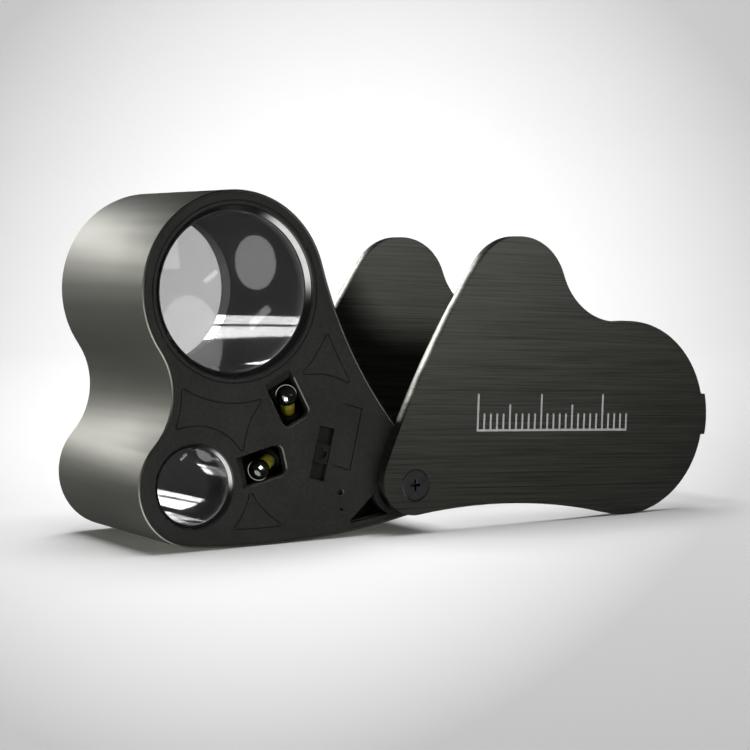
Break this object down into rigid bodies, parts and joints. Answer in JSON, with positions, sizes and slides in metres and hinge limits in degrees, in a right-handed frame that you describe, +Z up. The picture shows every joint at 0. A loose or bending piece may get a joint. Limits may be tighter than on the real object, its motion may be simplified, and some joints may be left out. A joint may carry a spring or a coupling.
{
  "type": "folding jewelers loupe",
  "caption": "Pocket magnifier with a large and a small illuminated lens in one body that swings out of a U-shaped brushed metal cover.",
  "frame": {"origin": "centre of the open loupe's footprint, on the surface it stands on", "axes": "+X towards the cover's strap, along the longest extent; +Y from the object side (diodes and switch) to the eye side; +Z up"},
  "size_m": [0.085, 0.0322, 0.0444],
  "materials": {
    "cover_metal": "dark anodised, brushed lengthways",
    "band_metal": "satin dark anodised",
    "scale_paint": "matt pale grey fill",
    "screw_steel": "dark plated",
    "barrel_steel": "turned",
    "washer_plastic": "black nylon",
    "face_plastic": "fine spark texture",
    "chassis_plastic": "moulded black",
    "tube_black": "black anodised, polished bore",
    "ring_black": "black",
    "lens_glass": "polished, coated",
    "led_epoxy": "clear cast",
    "led_phosphor": "yellow phosphor in a plated cup",
    "board_laminate": "green solder mask",
    "resistor_ceramic": "glazed black",
    "switch_steel": "stamped",
    "slider_plastic": "moulded",
    "spring_steel": "nickel plated",
    "cell_steel": "nickel plated"
  },
  "bodies": {
    "cover_frame": {"cover": "cover_metal", "scale_mark": "scale_paint", "pivot_screws": "screw_steel", "pivot_barrel": "barrel_steel", "pivot_washers": "washer_plastic"},
    "lens_body": {"side_band": "band_metal", "front_face": "face_plastic", "back_face": "face_plastic", "chassis": "chassis_plastic", "circuit_board": "board_laminate", "board_resistors": "resistor_ceramic", "led_lens_30x": "led_epoxy", "led_chip_30x": "led_phosphor", "led_lens_60x": "led_epoxy", "led_chip_60x": "led_phosphor", "switch_housing": "switch_steel", "contact_spring": "spring_steel", "door_contact": "spring_steel", "battery_door": "face_plastic", "battery_door_screw": "screw_steel", "back_screws": "screw_steel", "button_cell_1": "cell_steel", "button_cell_2": "cell_steel", "button_cell_3": "cell_steel", "barrel_30x": "tube_black", "front_lens_30x": "lens_glass", "rear_lens_30x": "lens_glass", "corrector_lens_30x": "lens_glass", "clip_ring_30x": "ring_black", "lock_ring_30x": "ring_black", "barrel_60x": "tube_black", "front_lens_60x": "lens_glass", "rear_lens_60x": "lens_glass", "clip_ring_60x": "ring_black", "lock_ring_60x": "ring_black"},
    "switch_thumb": {"switch_slider": "slider_plastic"}
  },
  "joints": [
    {"name": "body_swing", "type": "hinge", "parent": "cover_frame", "child": "lens_body", "pos_m": [-0.00518, 0, 0.00639], "axis": [0, -1, 0], "range_deg": [-121.2, 58.8]},
    {"name": "switch_slide", "type": "slide", "parent": "lens_body", "child": "switch_thumb", "axis": [0.2484, 0, 0.9687], "range_m": [-0.002, 0.002]}
  ]
}
